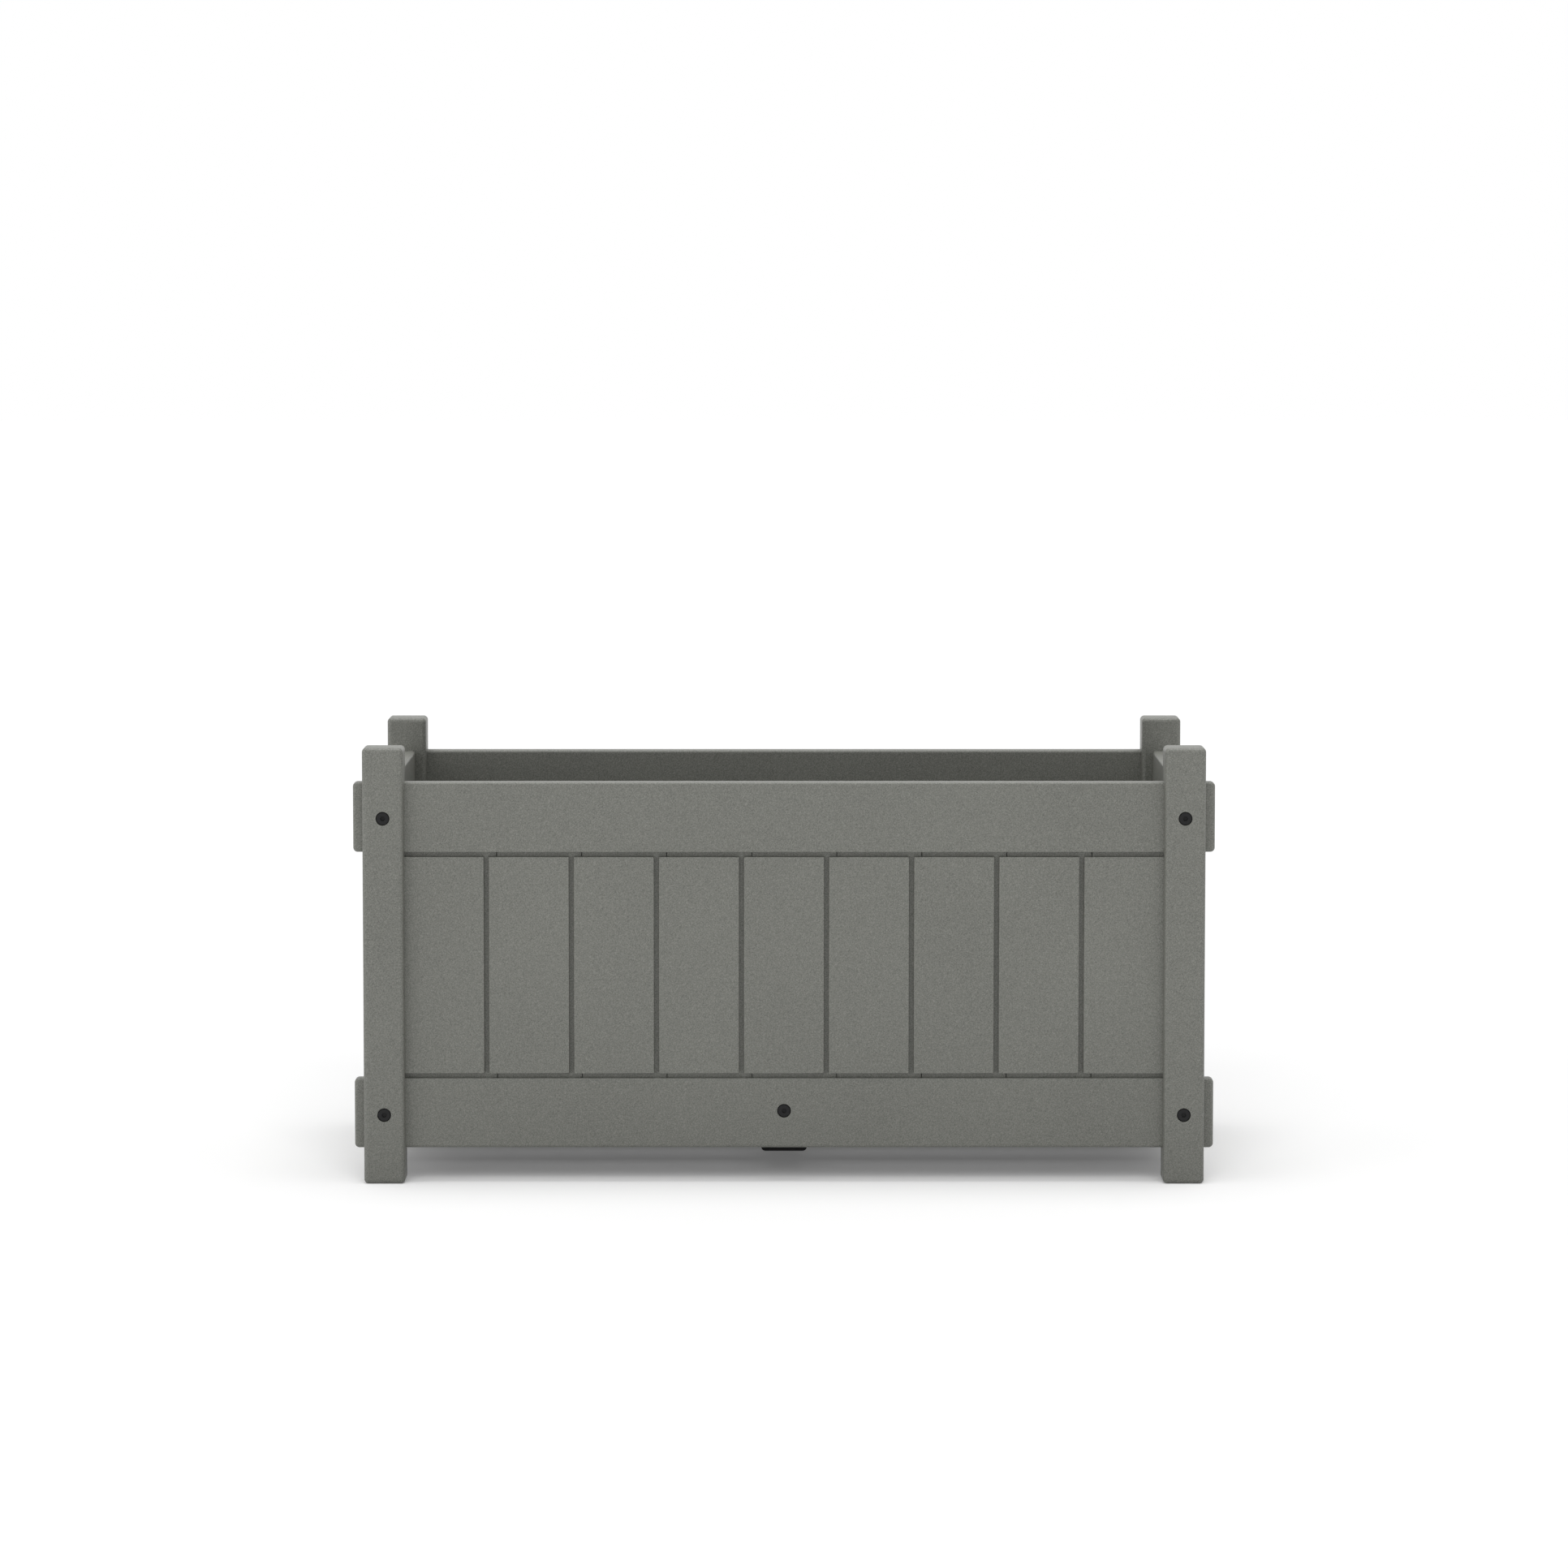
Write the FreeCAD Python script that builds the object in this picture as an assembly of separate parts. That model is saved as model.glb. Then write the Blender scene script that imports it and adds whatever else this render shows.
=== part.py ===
import FreeCAD, Part
import os

# Double planter box of plastic lumber: four square posts, four panels of rails and upright
# planks, and a slatted floor on end cleats and a crossbar.
# Millimetres. X runs along the box, the front faces -Y, +Z is up, and the origin is on the
# ground under the middle of the box.

Vector = FreeCAD.Vector

# Posts
width_over_posts = 914.4
depth_over_posts = 469.9
post_height = 476.25
post_side = 44.45
edge_radius = 4.7625

# Rails
board_thickness = 19.05
board_recess = 12.7
rail_height = 76.2
rail_edge_radius = 3.175
ground_clearance = 38.1
post_rise = 38.1
tenon_overhang = 10.7
mortise_clearance = 0.15

# Planks, and the tongues and slots that join them. A groove's width takes in its round edges
front_plank_count = 9
side_plank_count = 4
groove_width = 6.35
groove_depth = 6.35
groove_edge_radius = 0.5
tongue_thickness = 6.35
tongue_reach = 8.0
slot_side_clearance = 0.2
slot_end_clearance = 1.0
plank_back_gap = 0.5

# Floor
crossbar_width = 50.0
crossbar_drop = 6.35
floor_drop = 6.35
cleat_size = 22.225
cleat_edge_radius = 2.0
cleat_end_gap = 1.5
slat_count = 4
slat_thickness = 22.225
slat_gap = 7.4
slat_end_gap = 3.0
slat_post_gap = 1.6

# Bolts
bolt_head_radius = 7.15
bolt_head_thickness = 3.2
bolt_head_edge_radius = 0.5
bolt_head_set_in = 0.4
bolt_socket_radius = 2.9
bolt_socket_depth = 2.2
bolt_shank_radius = 3.95
bolt_past_nut = 5.0
bolt_bore_clearance = 0.2
bolt_bore_end_gap = 1.5
counterbore_clearance = 0.4
bolt_drop = 0.6
crossbar_bolt_rise = 3.0

# Barrel nuts
nut_radius = 6.35
nut_inset = 38.1
nut_wall = 3.5
nut_set_in = 0.5
nut_hole_clearance = 0.15
nut_thread_clearance = 0.05
nut_slot_width = 1.4
nut_slot_depth = 1.2

# Screws
screw_length = 38.1
screw_radius = 2.4
screw_head_radius = 4.8
screw_head_height = 3.2
screw_tip_length = 5.0
screw_set_in = 0.5
screw_bore_clearance = 0.05
screw_drive_width = 2.6
screw_drive_depth = 1.8

# Cutting tools run past the material by this much
overrun = 1.0

# Between the sides of neighbours in a panel
groove_gap = groove_width - 2 * groove_edge_radius

# Heights
lower_rail_bottom = ground_clearance
lower_rail_top = lower_rail_bottom + rail_height
upper_rail_top = post_height - post_rise
upper_rail_bottom = upper_rail_top - rail_height
plank_bottom = lower_rail_top + groove_gap
plank_top = upper_rail_bottom - groove_gap
lower_bolt_height = lower_rail_bottom + rail_height / 2 - bolt_drop
upper_bolt_height = upper_rail_bottom + rail_height / 2 - bolt_drop
crossbar_bolt_height = lower_bolt_height + crossbar_bolt_rise
crossbar_bottom = lower_rail_bottom - crossbar_drop
slat_bottom = lower_rail_top - floor_drop
slat_top = slat_bottom + slat_thickness

# Half sizes along the panels, and the panels' faces
front_half_span = width_over_posts / 2 - post_side
side_half_span = depth_over_posts / 2 - post_side
post_middle = width_over_posts / 2 - post_side / 2
front_face = depth_over_posts / 2 - board_recess
side_face = width_over_posts / 2 - board_recess
inner_half_width = side_face - board_thickness
inner_half_depth = front_face - board_thickness

# Depths inside a board, from its outer face
tongue_back = groove_depth + tongue_thickness
slot_front = groove_depth - slot_side_clearance
slot_back = tongue_back + slot_side_clearance
slot_reach = tongue_reach + slot_end_clearance

# A side panel's bolts lie in line with the middles of the posts
side_bolt_depth = post_side / 2 - board_recess
nut_length = board_thickness - nut_wall - nut_set_in
post_bolt_end = post_side - board_recess + nut_inset + nut_radius + bolt_past_nut
crossbar_bolt_end = board_thickness + nut_inset + nut_radius + bolt_past_nut

# Each panel is made facing -Y with its outer face at y = 0, moved out and turned about Z
panel_turns = {"front": 0, "right": 90, "back": 180, "left": 270}
panel_faces = {"front": front_face, "right": side_face, "back": front_face, "left": side_face}

# The side on which a long panel's left end (-1) and right end (1) lie, seen from outside
corner_sides = {("front", -1): "left", ("front", 1): "right",
                ("back", -1): "right", ("back", 1): "left"}


def box(xs, ys, zs):
    low = Vector(min(xs), min(ys), min(zs))
    high = Vector(max(xs), max(ys), max(zs))
    size = high - low
    return Part.makeBox(size.x, size.y, size.z, low)


def cylinder(radius, start, end):
    along = end - start
    return Part.makeCylinder(radius, along.Length, start, along)


def joined(first, *others):
    return first.fuse(list(others)).removeSplitter()


def round_edges(shape, radius, chosen):
    return shape.makeFillet(radius, [edge for edge in shape.Edges if chosen(edge)])


def lies_at(edge, axis, place):
    """True where the whole edge has this coordinate, so that it runs across the axis."""
    return all(abs(getattr(vertex.Point, axis) - place) < Part.Precision.confusion()
               for vertex in edge.Vertexes)


def rounded_board(xs, ys, zs):
    board = box(xs, ys, zs)
    return board.makeFillet(edge_radius, board.Edges)


def placed(shape, panel):
    """Put a shape made in a panel's own frame where that panel stands."""
    moved = shape.copy()
    moved.translate(Vector(0, -panel_faces[panel], 0))
    moved.rotate(Vector(0, 0, 0), Vector(0, 0, 1), panel_turns[panel])
    return moved


# Rails

def slotted_rail(half_length, half_span, outer, inner):
    """A rail with round outer edges, and a slot in its inner edge for the planks' tongues."""
    rail = box((-half_length, half_length), (0, board_thickness), (outer, inner))
    rail = round_edges(rail, rail_edge_radius,
                       lambda edge: lies_at(edge, "z", outer) and not is_across(edge))
    rail = round_edges(rail, groove_edge_radius,
                       lambda edge: lies_at(edge, "z", inner) and lies_at(edge, "y", 0))
    into_rail = slot_reach if outer > inner else -slot_reach
    slot = box((-half_span, half_span), (slot_front, slot_back), (inner, inner + into_rail))
    return rail.cut(slot)


def is_across(edge):
    return lies_at(edge, "x", edge.Vertexes[0].Point.x)


def tenon_board(half_length, outer, inner):
    """A board with round corners, and less round edges about its front and back."""
    def is_at_a_face(edge):
        return lies_at(edge, "y", 0) or lies_at(edge, "y", board_thickness)

    board = box((-half_length, half_length), (0, board_thickness), (outer, inner))
    board = round_edges(board, edge_radius, lambda edge: not is_at_a_face(edge))
    return round_edges(board, rail_edge_radius, is_at_a_face)


def long_rail(outer, inner):
    """A front or back rail, whose ends run on through the posts as rounded tenons."""
    half_length = width_over_posts / 2 + tenon_overhang
    slot_half_span = front_half_span + slot_end_clearance
    middle = slotted_rail(post_middle, slot_half_span, outer, inner)
    board = tenon_board(half_length, outer, inner)
    ends = board.cut(box((-post_middle, post_middle), (-overrun, board_thickness + overrun),
                         (outer, inner)))
    return joined(middle, *ends.Solids)


def side_rail(outer, inner):
    return slotted_rail(side_half_span, side_half_span, outer, inner)


# Planks

def plank(left, right, is_first, is_last):
    """A plank with a slot on its left and a tongue on its right, top and bottom."""
    face = box((left, right), (0, groove_depth), (plank_bottom, plank_top))
    tongue_right = right if is_last else right + groove_gap + tongue_reach
    tongue = box((left, tongue_right), (groove_depth, tongue_back),
                 (lower_rail_top - tongue_reach, upper_rail_bottom + tongue_reach))
    back_left = left if is_first else left - groove_gap + plank_back_gap
    back = box((back_left, right), (tongue_back, board_thickness),
               (lower_rail_top, upper_rail_bottom - plank_back_gap))
    body = joined(face, tongue, back)
    if not is_first:
        body = body.cut(box((left - groove_gap, left + slot_reach), (slot_front, slot_back),
                            (lower_rail_bottom, upper_rail_top)))

    def beside_groove(edge):
        at_post = (is_first and lies_at(edge, "x", left)) or (is_last and lies_at(edge, "x", right))
        return lies_at(edge, "y", 0) and not at_post

    return round_edges(body, groove_edge_radius, beside_groove)


def plank_row(half_span, count):
    """Planks with equal flat faces and a groove between neighbours, from post to post."""
    face_width = (2 * half_span - (count - 1) * groove_width) / count
    planks = []
    for i in range(count):
        is_first, is_last = i == 0, i == count - 1
        face_left = -half_span + i * (face_width + groove_width)
        face_right = face_left + face_width
        left = face_left if is_first else face_left - groove_edge_radius
        right = face_right if is_last else face_right + groove_edge_radius
        planks.append(plank(left, right, is_first, is_last))
    return planks


# Posts

def post(end):
    """The post at a long panel's left (-1) or right (1) end, with its two mortises."""
    outer = end * width_over_posts / 2
    inner = end * front_half_span
    body = rounded_board((outer, inner), (-board_recess, post_side - board_recess),
                         (0, post_height))
    for bottom, top in ((lower_rail_bottom, lower_rail_top), (upper_rail_bottom, upper_rail_top)):
        body = body.cut(box((outer + end * overrun, inner - end * overrun),
                            (-mortise_clearance, board_thickness + mortise_clearance),
                            (bottom - mortise_clearance, top + mortise_clearance)))
    return body


# Fasteners

def bolt(x, z, face, end):
    """A flat-headed bolt with a hex socket, pointing into a panel from the face it is sunk in."""
    head_top = face + bolt_head_set_in
    head_bottom = head_top + bolt_head_thickness
    head = cylinder(bolt_head_radius, Vector(x, head_top, z), Vector(x, head_bottom, z))
    head = round_edges(head, bolt_head_edge_radius, lambda edge: lies_at(edge, "y", head_top))
    shank = cylinder(bolt_shank_radius, Vector(x, head_bottom, z), Vector(x, end, z))
    hexagon = Part.makePolygon([
        Vector(x, head_top, z) + turned(Vector(bolt_socket_radius, 0, 0), corner * 60)
        for corner in range(7)])
    socket = Part.Face(hexagon).extrude(Vector(0, bolt_socket_depth, 0))
    return joined(head, shank).cut(socket)


def turned(vector, degrees):
    return FreeCAD.Rotation(Vector(0, 1, 0), degrees).multVec(vector)


def bolt_hole(x, z, face, end):
    seat = face + bolt_head_set_in + bolt_head_thickness
    counterbore = cylinder(bolt_head_radius + counterbore_clearance,
                           Vector(x, face - overrun, z), Vector(x, seat, z))
    bore = cylinder(bolt_shank_radius + bolt_bore_clearance,
                    Vector(x, seat, z), Vector(x, end + bolt_bore_end_gap, z))
    return counterbore.fuse(bore)


def barrel_nut(start, end, bolt_point, bolt_direction):
    """A round nut from start to end, slotted at its end, with a bore for the bolt across it."""
    along = (end - start).normalize()
    across = along.cross(Vector(0, 0, 1))
    nut = cylinder(nut_radius, start, end)
    reach = bolt_direction * (nut_radius + overrun)
    nut = nut.cut(cylinder(bolt_shank_radius + nut_thread_clearance,
                           bolt_point - reach, bolt_point + reach))
    half_slot = Vector(0, 0, nut_slot_width / 2)
    corner = end - along * nut_slot_depth - across * nut_radius - half_slot
    slot_size = along * (nut_slot_depth + overrun) + across * 2 * nut_radius + half_slot * 2
    far = corner + slot_size
    return nut.cut(box((corner.x, far.x), (corner.y, far.y), (corner.z, far.z)))


def nut_hole(start, end):
    return cylinder(nut_radius + nut_hole_clearance, start, end)


def screw_body(play):
    """A countersunk screw that points down from the origin, or with play, the hole for one."""
    neck = -screw_head_height
    tip_start = screw_tip_length - screw_length
    head = Part.makeCone(screw_radius + play, screw_head_radius + play, screw_head_height,
                         Vector(0, 0, neck), Vector(0, 0, 1))
    shank = cylinder(screw_radius + play, Vector(0, 0, tip_start), Vector(0, 0, neck))
    tip = Part.makeCone(0, screw_radius + play, screw_tip_length,
                        Vector(0, 0, -screw_length), Vector(0, 0, 1))
    return joined(head, shank, tip)


def screw():
    half = screw_drive_width / 2
    drive = box((-half, half), (-half, half), (-screw_drive_depth, overrun))
    return screw_body(0).cut(drive)


def screw_hole():
    mouth = cylinder(screw_head_radius + screw_bore_clearance,
                     Vector(0, 0, 0), Vector(0, 0, screw_set_in + overrun))
    return joined(screw_body(screw_bore_clearance), mouth)


def driven_down(shape, x, y):
    """Place a screw or its hole in the floor's top at x, y."""
    moved = shape.copy()
    moved.translate(Vector(x, y, slat_top - screw_set_in))
    return moved


def driven_out(shape, x, z):
    """Place a screw or its hole in a cleat, in the frame of the panel that carries it."""
    moved = shape.copy()
    moved.rotate(Vector(0, 0, 0), Vector(1, 0, 0), -90)
    moved.translate(Vector(x, board_thickness + cleat_size - screw_set_in, z))
    return moved


# The pieces, by name
pieces = {}


def drill(names, hole):
    for name in names:
        pieces[name] = pieces[name].cut(hole)


# Panels and posts
for panel in panel_turns:
    is_long = panel in ("front", "back")
    rail = long_rail if is_long else side_rail
    half_span = front_half_span if is_long else side_half_span
    count = front_plank_count if is_long else side_plank_count
    pieces[panel + "_top_rail"] = placed(rail(upper_rail_top, upper_rail_bottom), panel)
    pieces[panel + "_bottom_rail"] = placed(rail(lower_rail_bottom, lower_rail_top), panel)
    for number, board in enumerate(plank_row(half_span, count), 1):
        pieces[panel + "_plank_" + str(number)] = placed(board, panel)
for (panel, end), side in corner_sides.items():
    pieces[panel + "_" + side + "_post"] = placed(post(end), panel)

# Floor
slat_half_length = inner_half_width - slat_end_gap
floor_half_depth = side_half_span - slat_post_gap
slat_width = (2 * floor_half_depth - (slat_count - 1) * slat_gap) / slat_count
slat_pitch = slat_width + slat_gap
slat_places = [slat_width / 2 - floor_half_depth + i * slat_pitch for i in range(slat_count)]
crossbar = box((-crossbar_width / 2, crossbar_width / 2), (-inner_half_depth, inner_half_depth),
               (crossbar_bottom, slat_bottom))
pieces["floor_crossbar"] = round_edges(crossbar, edge_radius, lambda edge: not (
    lies_at(edge, "y", inner_half_depth) or lies_at(edge, "y", -inner_half_depth)))
for number, y in enumerate(slat_places, 1):
    pieces["floor_slat_" + str(number)] = rounded_board(
        (-slat_half_length, slat_half_length), (y - slat_width / 2, y + slat_width / 2),
        (slat_bottom, slat_top))
cleat_half_length = side_half_span - cleat_end_gap
cleat_face = board_thickness + cleat_size
cleat_middle = slat_bottom - cleat_size / 2
for side in ("left", "right"):
    cleat = box((-cleat_half_length, cleat_half_length), (board_thickness, cleat_face),
                (slat_bottom - cleat_size, slat_bottom))
    cleat = round_edges(cleat, cleat_edge_radius,
                        lambda edge: lies_at(edge, "y", cleat_face) and not is_across(edge))
    pieces["floor_cleat_" + side] = placed(cleat, side)

# Bolts through the posts and tenons into the side rails, and their barrel nuts
post_bolts = []
rail_nuts = []
rail_levels = {"top": upper_bolt_height, "bottom": lower_bolt_height}
for (panel, end), side in corner_sides.items():
    for level, height in rail_levels.items():
        place = (end * post_middle, height, -board_recess, post_bolt_end)
        post_bolts.append(placed(bolt(*place), panel))
        drill([panel + "_" + side + "_post", panel + "_" + level + "_rail",
               side + "_" + level + "_rail"], placed(bolt_hole(*place), panel))
for side in ("left", "right"):
    for end in (-1, 1):
        for level, height in rail_levels.items():
            x = end * (side_half_span - nut_inset)
            bottom = Vector(x, nut_wall, height)
            mouth = Vector(x, nut_wall + nut_length, height)
            rail_nuts.append(placed(barrel_nut(
                bottom, mouth, Vector(x, side_bolt_depth, height), Vector(1, 0, 0)), side))
            drill([side + "_" + level + "_rail"], placed(
                nut_hole(bottom, mouth + Vector(0, nut_set_in + overrun, 0)), side))
pieces["post_bolts"] = Part.makeCompound(post_bolts)
pieces["rail_barrel_nuts"] = Part.makeCompound(rail_nuts)

# Bolts through the lower rails into the crossbar's ends, and their barrel nuts
crossbar_bolts = []
crossbar_nuts = []
for panel, facing in (("front", -1), ("back", 1)):
    place = (0, crossbar_bolt_height, 0, crossbar_bolt_end)
    crossbar_bolts.append(placed(bolt(*place), panel))
    drill([panel + "_bottom_rail", "floor_crossbar"], placed(bolt_hole(*place), panel))
    centre = Vector(0, facing * (inner_half_depth - nut_inset), crossbar_bolt_height)
    half_nut = Vector(nut_length / 2, 0, 0)
    crossbar_nuts.append(barrel_nut(centre - half_nut, centre + half_nut, centre,
                                    Vector(0, 1, 0)))
    drill(["floor_crossbar"],
          nut_hole(centre - half_nut, centre + Vector(crossbar_width / 2 + overrun, 0, 0)))
pieces["crossbar_bolts"] = Part.makeCompound(crossbar_bolts)
pieces["crossbar_barrel_nuts"] = Part.makeCompound(crossbar_nuts)

# Screws through the slats into the cleats and the crossbar
floor_screws = []
carriers = {-(inner_half_width - cleat_size / 2): "floor_cleat_left", 0: "floor_crossbar",
            inner_half_width - cleat_size / 2: "floor_cleat_right"}
for number, y in enumerate(slat_places, 1):
    for x, carrier in carriers.items():
        floor_screws.append(driven_down(screw(), x, y))
        drill(["floor_slat_" + str(number), carrier], driven_down(screw_hole(), x, y))
pieces["floor_screws"] = Part.makeCompound(floor_screws)

# Screws through the cleats into the side rails, halfway between the slats' screws
cleat_screws = []
for side in ("left", "right"):
    for y in slat_places[1:]:
        x = y - slat_pitch / 2
        cleat_screws.append(placed(driven_out(screw(), x, cleat_middle), side))
        drill(["floor_cleat_" + side, side + "_bottom_rail"],
              placed(driven_out(screw_hole(), x, cleat_middle), side))
pieces["cleat_screws"] = Part.makeCompound(cleat_screws)

# Write each piece
os.makedirs("parts", exist_ok=True)
for name, shape in pieces.items():
    shape.exportStep("parts/" + name + ".step")
    print(name, len(shape.Solids), "valid" if shape.isValid() else "NOT VALID",
          round(shape.Volume / 1000, 1), "cm3")
print(len(pieces), "pieces by name,", sum(len(shape.Solids) for shape in pieces.values()), "solids")
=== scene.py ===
# %% [markdown]
# # A planter box of grey plastic lumber
# The box stands on four square posts. Between them are framed panels of upright planks, and
# inside is a slatted floor. Its solids are already modelled to size, so this script loads them
# as a fixed frame and gives them their looks: materials, light, a camera, and finer versions of
# what repeats. All lengths are in metres.

# %% Load the modelled box
import math

import bmesh
import bpy
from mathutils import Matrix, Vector


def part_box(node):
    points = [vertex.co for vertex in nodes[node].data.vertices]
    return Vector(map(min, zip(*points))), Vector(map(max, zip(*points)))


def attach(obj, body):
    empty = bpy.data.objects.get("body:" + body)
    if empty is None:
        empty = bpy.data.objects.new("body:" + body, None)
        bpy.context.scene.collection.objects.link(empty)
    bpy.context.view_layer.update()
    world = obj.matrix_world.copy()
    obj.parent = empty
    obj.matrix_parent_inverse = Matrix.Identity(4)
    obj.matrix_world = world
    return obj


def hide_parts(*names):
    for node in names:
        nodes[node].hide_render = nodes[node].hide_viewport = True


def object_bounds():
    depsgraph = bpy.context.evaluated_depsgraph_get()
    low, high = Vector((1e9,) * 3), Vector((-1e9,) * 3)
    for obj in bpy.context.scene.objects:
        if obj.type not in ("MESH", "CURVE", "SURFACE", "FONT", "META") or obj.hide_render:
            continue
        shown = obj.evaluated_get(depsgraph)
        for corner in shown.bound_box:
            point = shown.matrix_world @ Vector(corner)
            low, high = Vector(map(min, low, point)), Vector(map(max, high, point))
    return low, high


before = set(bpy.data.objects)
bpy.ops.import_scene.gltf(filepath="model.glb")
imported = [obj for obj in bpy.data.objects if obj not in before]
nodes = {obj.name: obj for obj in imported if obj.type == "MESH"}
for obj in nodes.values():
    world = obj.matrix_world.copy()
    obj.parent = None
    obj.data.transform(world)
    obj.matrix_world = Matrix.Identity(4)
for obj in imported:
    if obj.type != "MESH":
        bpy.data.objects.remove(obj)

bpy.context.view_layer.update()
modelled_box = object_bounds()
print(len(nodes), "modelled pieces, box",
      [[round(v, 4) for v in corner] for corner in modelled_box])

# %% [markdown]
# ## The camera
# The photograph was taken from far off through a long lens, a little above the rim, looking
# slightly down. A long lens keeps the posts nearly parallel. The numbers come from fitting a
# pinhole camera to the corners of the posts and rails.

# %% Camera
CAMERA_PLACE = (0.0, -6.71098, 1.006854)
CAMERA_PITCH = 0.08772
LENS_MM = 137.868
SENSOR_MM = 36.0
CLIP_END = 200.0

lens = bpy.data.cameras.new("camera")
lens.sensor_width = SENSOR_MM
lens.lens = LENS_MM
lens.clip_end = CLIP_END
camera = bpy.data.objects.new("camera", lens)
camera.location = CAMERA_PLACE
camera.rotation_euler = (math.pi / 2 - CAMERA_PITCH, 0, 0)
scene = bpy.context.scene
scene.collection.objects.link(camera)
scene.camera = camera
scene.view_settings.view_transform = "Standard"
print("camera", round(math.degrees(CAMERA_PITCH), 2), "degrees down, lens", LENS_MM, "mm")

# %% [markdown]
# ## A helper for node trees
# Materials and Geometry Nodes are both node trees. Placing each node by hand makes long code,
# so one small class wraps an output socket. Sums on it are written as plain Python and add a
# Math node each, and its node method adds any other node: settings first, then the sockets.

# %% Sockets in Python sums
class Socket:
    """An output socket of a node tree. Sums on it add Math nodes."""

    def __init__(self, tree, source=None):
        self.tree = tree
        self.source = source

    def node(self, kind, settings=None, inputs=None):
        """Add a node, and return its first output."""
        made = self.tree.nodes.new(kind)
        for name, value in (settings or {}).items():
            setattr(made, name, value)
        for name, value in (inputs or {}).items():
            self.feed(pick(made.inputs, name), value)
        outputs = [socket for socket in made.outputs if socket.enabled]
        return Socket(self.tree, outputs[0] if outputs else None)

    def feed(self, target, value):
        for each in value if isinstance(value, list) else [value]:
            if isinstance(each, Socket):
                self.tree.links.new(each.source, target)
            else:
                target.default_value = each

    def out(self, name):
        """Another output of the same node."""
        return Socket(self.tree, pick(self.source.node.outputs, name))

    def math(self, operation, *values):
        return self.node("ShaderNodeMath", {"operation": operation}, dict(enumerate(values)))

    def __add__(self, other):
        return self.math("ADD", self, other)

    def __sub__(self, other):
        return self.math("SUBTRACT", self, other)

    def __rsub__(self, other):
        return self.math("SUBTRACT", other, self)

    def __mul__(self, other):
        return self.math("MULTIPLY", self, other)

    def __truediv__(self, other):
        return self.math("DIVIDE", self, other)

    def __rtruediv__(self, other):
        return self.math("DIVIDE", other, self)

    __radd__ = __add__
    __rmul__ = __mul__


def pick(sockets, name):
    """The socket in use with this name or number."""
    if isinstance(name, int):
        return sockets[name]
    return next(socket for socket in sockets if socket.name == name and socket.enabled)


# %% [markdown]
# ## The grey boards
# Plastic lumber is extruded and then brushed, so it has one colour right through, a matte skin,
# and a fine sandy grain with paler flecks about a millimetre across. Object coordinates keep the
# grain at its real size on every piece. Three layers of noise make the colour: the fine grain,
# a mottle a few millimetres wide, and a slow drift along the board. Each plank also has a tone
# of its own, as boards cut from different lengths do. Noise is built on a grid, and a flat face
# that lies along this grid shows its grain too weak or too strong, so the coordinates are
# turned first.

# %% Colours and noise
NOISE_TURN = (0.5, 0.7, 0.4)
MM = 1000


def linear(red, green, blue):
    """A colour given in screen levels from 0 to 255, turned to light by the sRGB curve."""
    levels = (value / 255 for value in (red, green, blue))
    light = (v / 12.92 if v <= 0.04045 else ((v + 0.055) / 1.055) ** 2.4 for v in levels)
    return (*light, 1)


def new_material(name):
    material = bpy.data.materials.new(name)
    material.use_nodes = True
    material.node_tree.nodes.clear()
    return material, Socket(material.node_tree)


def finish_material(start, inputs):
    """Add the surface shader with these sockets, and the output."""
    surface = start.node("ShaderNodeBsdfPrincipled", inputs=inputs)
    start.node("ShaderNodeOutputMaterial", inputs={"Surface": surface})


def blend(start, factor, darkest, palest):
    """A colour between two that are given in screen levels."""
    return start.node("ShaderNodeMix", {"data_type": "RGBA"}, {
        "Factor": factor, "A": linear(*darkest), "B": linear(*palest)})


def bump(start, height, strength, distance):
    return start.node("ShaderNodeBump", inputs={
        "Strength": strength, "Distance": distance, "Height": height})


def noise(start, scale, detail=2.0, roughness=0.5):
    """Noise at its real size, turned so that no flat face lies along the noise's own grid."""
    place = start.node("ShaderNodeTexCoord").out("Object")
    turned = start.node("ShaderNodeVectorRotate", {"rotation_type": "EULER_XYZ"}, {
        "Vector": place, "Rotation": NOISE_TURN})
    return start.node("ShaderNodeTexNoise", inputs={
        "Vector": turned, "Scale": scale, "Detail": detail, "Roughness": roughness})


# %% Grey board material
# How fine each noise is, in waves per metre
GRAIN = 810.0
MOTTLE = 160.0
DRIFT = 6.0
GRAIN_ROUGHNESS = 0.6
DRIFT_DETAIL = 1.0

# How much each one moves the shade or the surface
GRAIN_SHARE = 1.7
MOTTLE_SHARE = 0.1
DRIFT_SHARE = 0.15
PLANK_TONE = 0.02
MOTTLE_IN_BUMP = 0.4
HALF = 0.5

GREY_DARKEST = (76, 77, 71)
GREY_PALEST = (149, 150, 142)
GREY_SHEEN = 0.75
GREY_ROUGHNESS, GREY_ROUGHNESS_SPAN = 0.42, 0.12
GREY_BUMP, GREY_BUMP_HEIGHT = 0.2, 0.0003


def board_noises(start):
    """The grain and the mottle that all boards share."""
    return noise(start, GRAIN, roughness=GRAIN_ROUGHNESS), noise(start, MOTTLE)


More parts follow.
